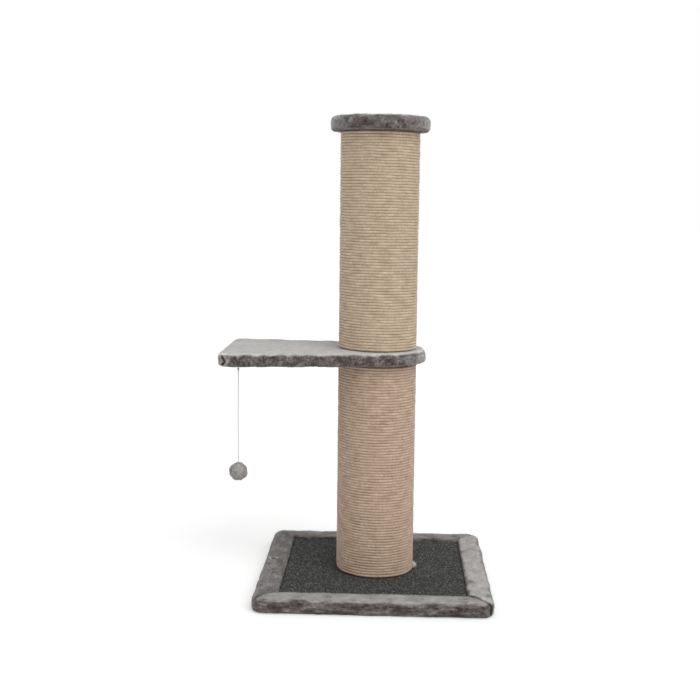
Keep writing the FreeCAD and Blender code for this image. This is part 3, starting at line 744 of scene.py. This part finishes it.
def make_border(side, degrees, lie_and_sheen, uneven, cloth):
    """One plush strip of the border, closed at both mitres, and its pile."""
    outer, inner = border_section()
    section = np.concatenate([outer, inner])
    bend = np.linspace(STRAIGHT, 1, 9)
    share = np.concatenate([-bend[:0:-1], np.linspace(-STRAIGHT, STRAIGHT, 170), bend[1:]])
    grid = raised(strip_path(section[None, :, 0], share[:, None]), section[:, 1])
    out = grid_normals(grid, False, True)
    # Outwards is up on the crown
    if np.mean(out[60:90, 25, 2]) < 0:
        out = -out
    place = turned(grid, degrees)
    seed = 50 + degrees
    lump = 0.0004 * swell(place, 0.05, seed) + 0.00014 * swell(place, 0.016, seed + 1)
    outside = np.clip((0.02 - section[:, 0]) / 0.015, 0, 1)
    lump = lump + 0.00035 * (uneven - 1) * outside * swell(place, 0.026, seed + 2)
    free = np.zeros(len(section))
    free[: len(outer)] = 1
    free[:BORDER_FLAT] = 0
    calm = 1 - np.exp(-(((1 - np.abs(share)) / 0.02) ** 2))
    sunk = 0.0026 * seam_at(place, 0.0030) + 0.0022 * dent_at(place)
    grid = grid + out * ((lump * calm[:, None] - sunk) * free)[..., None]
    grid = turned(grid, degrees)
    closed = capped(grid, grid[0].mean(0), grid[-1].mean(0))
    piece = surface("border_" + side, closed, False, True)

    def nap(places, ways):
        # Painted sheen where the pile faces up, as much as each side's share gives
        flat = np.clip((ways[:, 2] - 0.45 + 0.15 * swell(places, 0.04, seed + 3)) / 0.4, 0, 1)
        # Painted shade along the mitre seams and in the dent
        return 0.35 + lie_and_sheen * flat - 0.3 * seam_at(places, 0.0036) - 0.3 * dent_at(places)

    shade(piece, "nap", nap(places_of(piece.data), ways_of(piece.data)))
    dress(piece, cloth, "post", "grey_plush", "base_plush_" + side)

    keep = np.zeros(grid.shape[:2])
    keep[:, BORDER_FLAT : len(outer)] = 1
    hair = pile_over(
        "border_pile_" + side, grid, (False, True), keep, 9000, 0.0026, (0, 0, 0), seed + 5, nap
    )
    dress(hair, cloth, "post", "grey_plush")


for side, (degrees, lie_and_sheen, uneven, cloth) in SIDES.items():
    make_border(side, degrees, lie_and_sheen, uneven, cloth)


# Padding under the plush


def make_foam(name, node, arcs, low, high, round_over, hole):
    """Foam pad: an outline drawn in by one skin, flat below, rounded over at its top edge."""
    point, way = rounded_outline(arcs, 0.006)
    rim = np.concatenate(
        [
            [(SKIN, low)],
            quarter((SKIN + round_over, high - round_over), (-round_over, round_over), 0, 90, 7),
        ]
    )
    steps = 8
    share = np.linspace(0, 1, steps + 1)[1:]
    inset = np.concatenate([np.full(steps, rim[0, 0]), rim[:, 0], np.full(steps, rim[-1, 0])])
    height = np.concatenate([np.full(steps, low), rim[:, 1], np.full(steps, high)])
    inward = np.concatenate([share[::-1], np.zeros(len(rim)), share])
    grid = raised(drawn_in(point, way, inset, inward, hole), height)
    piece = surface(name, grid, True, hole > 0)
    dress(piece, foam, "post", "foam", node)


shelf_pad = (SHELF_BOARD_TOP, SHELF[1] - SKIN, 0.0042)
cap_pad = (CAP_BOARD_TOP, CAP[1] - SKIN, 0.0055)
make_foam("shelf_foam", "shelf_wadding", shelf_arcs, *shelf_pad, BOLT_HOLE)
make_foam("cap_foam", "cap_wadding", cap_arcs, *cap_pad, 0.0)


def make_border_foam(side, degrees):
    """Foam strip with a rounded top, mitred at both ends."""
    arc = quarter((0.0235, 0.0215), (0.0202, 0.0050), 180, 0, 15)
    section = np.concatenate([[(SKIN, BOARD_TOP)], arc, [(BORDER_WIDTH - SKIN, BOARD_TOP)]])
    share = np.concatenate([[-1, -0.98], np.linspace(-STRAIGHT, STRAIGHT, 40), [0.98, 1]])
    grid = turned(raised(strip_path(section[None, :, 0], share[:, None]), section[:, 1]), degrees)
    closed = capped(grid, grid[0].mean(0), grid[-1].mean(0))
    piece = surface("border_foam_" + side, closed, False, True)
    dress(piece, foam, "post", "foam", "base_wadding_" + side)


for side, (degrees, *_) in SIDES.items():
    make_border_foam(side, degrees)


# Carpet and lining


def make_carpet():
    """Needle-felt panel: a square grid with a hole for the bolt, lumpy by a fifth of a millimetre, and
    soft at its cut edges."""
    angle = np.linspace(0, TURN, 241)[:-1]
    way = np.stack([np.cos(angle), np.sin(angle)], -1)
    square = way / np.abs(way).max(1, keepdims=True) * CARPET_HALF
    steps = 60
    face = slice(1, steps + 1)
    share = np.concatenate([[1], np.linspace(1, 0, steps), [0]])
    height = np.concatenate([[BOARD_TOP], np.full(steps, CARPET_TOP), [BOARD_TOP]])
    middle = way[:, None, :] * BOLT_HOLE * (1 - share)[None, :, None]
    plan = square[:, None, :] * share[None, :, None] + middle
    grid = raised(plan, height)
    lump = 0.00012 * swell(grid, 0.009, 71) - 0.0001
    outside = np.abs(plan).max(-1)
    lump = lump - 0.0012 * np.exp(-(((CARPET_HALF - outside) / 0.0025) ** 2))
    grid[:, face, 2] += lump[:, face]
    piece = surface("carpet_panel", grid, True, True)
    dress(piece, felt, "post", "needle_felt", "base_carpet")

    # Pale fibres that the needles left lying on the face
    chance = np.random.default_rng(72)
    count = 8000
    roots = chance.uniform(-CARPET_HALF + 0.004, CARPET_HALF - 0.004, (count, 2))
    roots = roots[np.hypot(*roots.T) > 0.084]
    roots = np.concatenate([roots, np.full((len(roots), 1), CARPET_TOP - 0.0002)], -1)
    angle = chance.uniform(0, TURN, len(roots))
    ways = np.stack([np.cos(angle), np.sin(angle), chance.uniform(0.02, 0.35, len(roots))], -1)
    strays = fibres("carpet_stray_fibres", roots, unit(ways), 0.0034, 0.00042, 73, rings=2)
    dress(strays, stray, "post", "needle_felt")


def make_lining():
    """Backing fleece under the shelf: the outline drawn in to the hem, a little slack between its
    staples."""
    point, way = rounded_outline(shelf_arcs, 0.006)
    steps = 20
    face = slice(1, steps + 1)
    share = np.concatenate([[0], np.linspace(0, 1, steps), [1], np.linspace(1, 0, steps)])
    low, high = SHELF[0], SHELF[0] + SKIN
    height = np.concatenate([[high], np.full(steps, low), [high], np.full(steps, high)])
    inset = np.full(len(share), SHELF_HEM)
    grid = raised(drawn_in(point, way, inset, share, BOLT_HOLE), height)
    grid[:, face, 2] += 0.0003 + 0.00025 * swell(grid, 0.03, 81)[:, face]
    piece = surface("shelf_underlining", grid, True, True)
    dress(piece, liner, "post", "grey_plush", "shelf_lining")


make_carpet()
make_lining()


# Sisal winding


def rope_line(low, top, start):
    """Helix of the rope's middle line from the foot to the head of a post, rising clockwise as seen
    from above: places and outward directions. It wanders by a quarter of a millimetre."""
    rises = top - low - ROPE_PITCH
    turns = rises / ROPE_PITCH
    angle = math.radians(start) - np.linspace(0, turns * TURN, int(turns * 84))
    radius = TUBE_RADIUS + ROPE_DEPTH / 2
    height = low + ROPE_PITCH / 2 + (angle[0] - angle) / TURN * ROPE_PITCH
    out = np.stack([np.cos(angle), np.sin(angle), np.zeros_like(angle)], -1)
    place = out * radius
    place[:, 2] = height
    inside = np.clip(np.minimum(height - low, top - height) / 0.02, 0, 1)
    place[:, 2] += 0.00022 * swell(place, 0.05, int(low * 1e4)) * inside
    place += out * (0.00022 * swell(place, 0.02, int(low * 1e4) + 3))[:, None] * inside[:, None]
    return place, out


def make_rope(name, node, low, top, start, twisted, seed):
    """Sisal rope wound on a post, and the loose fibres that stand off it. Its section is a rounded
    oblong, as deep as the rope and one pitch high, so each turn lies against the next; the ends are
    closed. Returns the lower end's place and its directions along the rope and outwards."""
    place, out = rope_line(low, top, start)
    along = unit(np.gradient(place, axis=0))
    up = unit(np.cross(along, out))
    ring = np.radians([0, 32, 60, 90, 125, 180, 235, 270, 300, 328])
    blunt = 0.85
    deep, tall = (np.sign(wave) * np.abs(wave) ** blunt for wave in (np.cos(ring), np.sin(ring)))
    # Each turn is a hundredth taller than the pitch, so that no gap shows between turns
    deep, tall = deep * ROPE_DEPTH / 2, tall * ROPE_PITCH / 2 * 1.01
    grid = place[:, None, :] + out[:, None, :] * deep[None, :, None] + up[:, None, :] * tall[None, :, None]
    length = np.concatenate([[0], np.cumsum(np.linalg.norm(np.diff(place, axis=0), axis=1))])
    round_it = np.concatenate([ring / TURN, [1.0]])
    u = np.concatenate([[length[0]], length, [length[-1]]])
    uv = np.stack(np.broadcast_arrays(u[:, None], round_it[None, :]), -1)
    piece = surface(name, capped(grid, place[0], place[-1]), False, True, uv)
    dress(piece, twisted, "post", "sisal", node)

    chance = np.random.default_rng(seed)
    count = 2600
    spot = chance.integers(200, len(place) - 200, count)
    lean = chance.normal(0, 0.5, (count, 1))
    ways = unit(along[spot] * chance.choice([-1, 1], (count, 1)) + out[spot] * 0.22 + up[spot] * lean)
    roots = place[spot] + out[spot] * ROPE_DEPTH * 0.46
    loose = fibres(name + "_fibres", roots, ways, 0.008, 0.00026, seed + 1, droop=0.06, rings=2)
    loose.data.uv_layers.new(name="cloth")
    dress(loose, twisted, "post", "sisal")
    return place[0], along[0], out[0]


rope_end = make_rope("lower_rope", "lower_sisal", *LOWER_POST, -6.0, lower_rope, 91)
make_rope("upper_rope", "upper_sisal", *UPPER_POST, 90.0, upper_rope, 95)


def make_fray(place, along, out):
    """Cut end of the lower rope: a tuft of fibres that fans out and up from the end at the post's
    foot."""
    chance = np.random.default_rng(101)
    count = 260
    root = place + out * 0.0022 + np.array([0, 0, 0.0045])
    roots = root + chance.normal(0, 0.0014, (count, 3))
    ways = unit(-along * 0.35 + out * 0.8 + chance.normal(0, 0.42, (count, 3)) + np.array([0, 0, 0.3]))
    tuft = fibres("rope_end_tuft", roots, ways, 0.009, 0.0007, 102, droop=0.05, rings=2)
    dress(tuft, frayed, "post", "sisal")


def make_crumbs():
    """Two small clumps of loose sisal hairs, caught on the left border either side of a dent."""
    chance = np.random.default_rng(105)
    x, y = DENT
    count = 14
    side = np.repeat([-1, 1], count)[:, None]
    spread = chance.normal(0, 0.0009, (2 * count, 3))
    roots = np.array([x, y, BORDER_TOP + 0.0012]) + side * np.array([0.0075, 0, 0]) + spread
    ways = unit(chance.normal(0, 1, (2 * count, 3)) * np.array([1, 1, 0.4]) + np.array([0, 0, 0.3]))
    hairs = fibres("sisal_crumbs", roots, ways, 0.0026, 0.0010, 106, rings=2)
    dress(hairs, frayed, "post", "sisal")


make_fray(*rope_end)
make_crumbs()


# Toy


def twisted_tube(name, line, radius, sides, lay, relief, closed=False):
    """Tube of three strands round a line: rings of points at right angles to it, whose radius swells
    by relief times the cosine of three times (angle round - turns along, one to each lay)."""
    line = np.asarray(line, float)
    run_on = np.roll(line, -1, 0) - np.roll(line, 1, 0) if closed else np.gradient(line, axis=0)
    along = unit(run_on)
    side = unit(np.cross(along, np.array([0.31, 0.95, 0.05])))
    other = np.cross(along, side)
    run = np.concatenate([[0], np.cumsum(np.linalg.norm(np.diff(line, axis=0), axis=1))])
    ring = np.linspace(0, TURN, sides, endpoint=False)
    swollen = radius * (1 + relief * np.cos(3 * (ring[None, :] - TURN * run[:, None] / lay)))
    grid = line[:, None, :] + (
        side[:, None, :] * np.cos(ring)[None, :, None] + other[:, None, :] * np.sin(ring)[None, :, None]
    ) * swollen[..., None]
    return surface(name, grid if closed else capped(grid, line[0], line[-1]), closed, True)


def nurbs_line(name, controls, steps):
    """Points along the smooth curve of order three through its end controls."""
    curve = bpy.data.curves.new(name, "CURVE")
    curve.dimensions = "3D"
    spline = curve.splines.new("NURBS")
    spline.points.add(len(controls) - 1)
    for point, place in zip(spline.points, controls):
        point.co = (*place, 1.0)
    spline.order_u = 3
    spline.use_endpoint_u = True
    curve.resolution_u = steps
    holder = bpy.data.objects.new(name, curve)
    bpy.context.scene.collection.objects.link(holder)
    bpy.context.view_layer.update()
    mesh = bpy.data.meshes.new_from_object(holder)
    line = places_of(mesh)
    bpy.data.objects.remove(holder)
    bpy.data.curves.remove(curve)
    bpy.data.meshes.remove(mesh)
    return line


def make_string():
    """Light twine that hangs straight from the knot into the ball."""
    x, y = TOY
    controls = [
        (x, y, STRING_TOP + 0.0008),
        (x + 0.0003, y, STRING_TOP - 0.012),
        (x - 0.0006, y + 0.0003, (STRING_TOP + STRING_LOW) / 2),
        (x, y, STRING_LOW),
    ]
    line = nurbs_line("string_route", controls, 60)
    piece = twisted_tube("hanging_string", line, STRING_THICK / 2, 12, lay=0.007, relief=0.1)
    dress(piece, twine, "string", "string", "toy_string")


def make_loop():
    """Loop round the staple's crown and the overhand knot below it. The loop is an oval; the knot's
    line is a trefoil: sin t + 2 sin 2t, cos t - 2 cos 2t, -sin 3t."""
    x, y = TOY
    t = np.linspace(0, TURN, 49)[:-1]
    loop_line = np.stack(
        [np.full_like(t, x), y + 0.00205 * np.sin(t), STAPLE_CROWN + 0.00215 * np.cos(t) - 0.0003], -1
    )
    loop = twisted_tube("string_loop", loop_line, 0.00095, 10, lay=0.0033, relief=0.08, closed=True)
    t = np.linspace(0, TURN, 97)[:-1]
    size = 0.00058
    knot_line = np.stack(
        [
            x + size * (np.sin(t) + 2 * np.sin(2 * t)),
            y + size * (np.cos(t) - 2 * np.cos(2 * t)),
            KNOT_HEIGHT - 2.2 * size * np.sin(3 * t),
        ],
        -1,
    )
    knot = twisted_tube("string_knot", knot_line, 0.0009, 10, lay=0.0033, relief=0.08, closed=True)
    dress(loop, twine, "loop", "string", "toy_loop")
    dress(knot, twine, "loop", "string")


def make_ball():
    """Clipped plush ball: a sphere with lumps of half a millimetre, closed at both poles, and its
    pile."""
    x, y = TOY
    climb = np.linspace(-math.pi / 2, math.pi / 2, 61)
    around = np.linspace(0, TURN, 121)[:-1]
    level, rise = np.cos(climb)[None, :], np.sin(climb)[None, :]
    way = np.stack(
        [np.cos(around)[:, None] * level, np.sin(around)[:, None] * level, np.ones((120, 1)) * rise], -1
    )
    lumps = 0.0005 * swell(way * BALL_RADIUS, 0.012, 111)
    lumps = lumps + 0.0003 * swell(way * BALL_RADIUS, 0.005, 112)
    grid = np.array([x, y, BALL_HEIGHT]) + way * (BALL_CORE + lumps)[..., None]

    def nap(places, ways):
        return np.full(len(places), 0.72)

    piece = surface("plush_ball", grid, True, False)
    shade(piece, "nap", nap(places_of(piece.data), None))
    dress(piece, toy_plush, "ball", "toy_plush", "toy_ball")
    everywhere = np.ones(grid.shape[:2])
    hair = pile_over("ball_pile", grid, (True, False), everywhere, 5200, 0.0022, (0, 0, 0), 113, nap)
    dress(hair, toy_plush, "ball", "toy_plush")


make_string()
make_loop()
make_ball()


# Finishes of the solids that show as they are, by the last word of their names

finishes = [
    (chipboard, "board plugs"),
    (tube_card, "tube"),
    (wire, "staples staple"),
    (zinc, "nuts bolt washer stud"),
]
finish_of = {word: finish for finish, words in finishes for word in words.split()}
for name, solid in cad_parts.items():
    last = name.split("_")[-1]
    if last in finish_of and not solid.hide_render:
        solid.data.materials.clear()
        solid.data.materials.append(finish_of[last])


# Floor, light and camera


def make_floor():
    """Pale floor that reads as the white page and keeps the soft shadow under the base."""
    mesh = bpy.data.meshes.new("floor")
    reach = 30.0
    corners = [(-reach, -reach, 0), (reach, -reach, 0), (reach, reach, 0), (-reach, reach, 0)]
    mesh.from_pydata(corners, [], [(0, 1, 2, 3)])
    floor = bpy.data.objects.new("floor", mesh)
    floor.location.z = -0.0005
    bpy.context.scene.collection.objects.link(floor)
    made, shader = material("matt white paper", Roughness=0.9)
    shader.inputs["Base Color"].default_value = (0.86, 0.86, 0.86, 1)
    shader.inputs["Specular IOR Level"].default_value = 0.1
    path = add(made, "LightPath")
    seen = add(made, "Math", {0: path.outputs["Is Camera Ray"], 1: 0.28}, operation="MULTIPLY")
    shader.inputs["Emission Color"].default_value = (1, 1, 1, 1)
    join(made, seen.outputs[0], shader, "Emission Strength")
    mesh.materials.append(made)


def make_lamp():
    """Sun 45 degrees wide, which shines from the front right and from above."""
    data = bpy.data.lights.new("key light", "SUN")
    data.angle, data.energy = math.radians(45), 1.15
    lamp = bpy.data.objects.new("key light", data)
    lamp.rotation_euler = Vector((-0.55, 0.75, -1.0)).to_track_quat("-Z", "Y").to_euler()
    bpy.context.scene.collection.objects.link(lamp)


def make_world():
    """Even light from all round; the camera and mirror rays see plain white."""
    world = bpy.data.worlds.new("studio")
    bpy.context.scene.world = world
    world.use_nodes = True
    world.node_tree.nodes.clear()
    path = add(world, "LightPath").outputs
    plain = path["Is Camera Ray"]
    for ray in ("Is Glossy Ray", "Is Transmission Ray"):
        plain = add(world, "Math", {0: plain, 1: path[ray]}, operation="MAXIMUM").outputs[0]
    light = add(world, "Background", {0: (1, 1, 1, 1), 1: 0.70}).outputs[0]
    page = add(world, "Background", {0: (1, 1, 1, 1), 1: 1.0}).outputs[0]
    add(world, "OutputWorld", {0: add(world, "MixShader", {0: plain, 1: light, 2: page}).outputs[0]})


# The camera fitted to the photograph: its place, and its focal length in pixels of a 700 pixel image
CAMERA_PLACE = (0.02737, -2.32868, 0.79319)
FOCAL_PIXELS = 1128.94
IMAGE_SIDE = 700


def make_camera():
    """Camera at the photograph's place: turned 2.08 degrees, tipped down 7.48 and rolled 0.63."""
    yaw, pitch, roll = 0.0363, 0.1305, 0.0110
    level = math.cos(pitch)
    forward = np.array([-math.sin(yaw) * level, math.cos(yaw) * level, -math.sin(pitch)])
    right = np.array([math.cos(yaw), math.sin(yaw), 0.0])
    up = np.cross(right, forward)
    side = math.cos(roll) * right + math.sin(roll) * up
    top = -math.sin(roll) * right + math.cos(roll) * up
    data = bpy.data.cameras.new("camera")
    data.sensor_width = 36.0
    data.lens = FOCAL_PIXELS / IMAGE_SIDE * data.sensor_width
    data.clip_start, data.clip_end = 0.05, 100.0
    camera = bpy.data.objects.new("camera", data)
    bpy.context.scene.collection.objects.link(camera)
    turn = np.eye(4)
    turn[:3, 0], turn[:3, 1], turn[:3, 2] = side, top, -forward
    turn[:3, 3] = CAMERA_PLACE
    camera.matrix_world = Matrix(turn.tolist())
    bpy.context.scene.camera = camera


make_floor()
make_world()
make_lamp()
make_camera()
bpy.context.scene.view_settings.view_transform = "Standard"
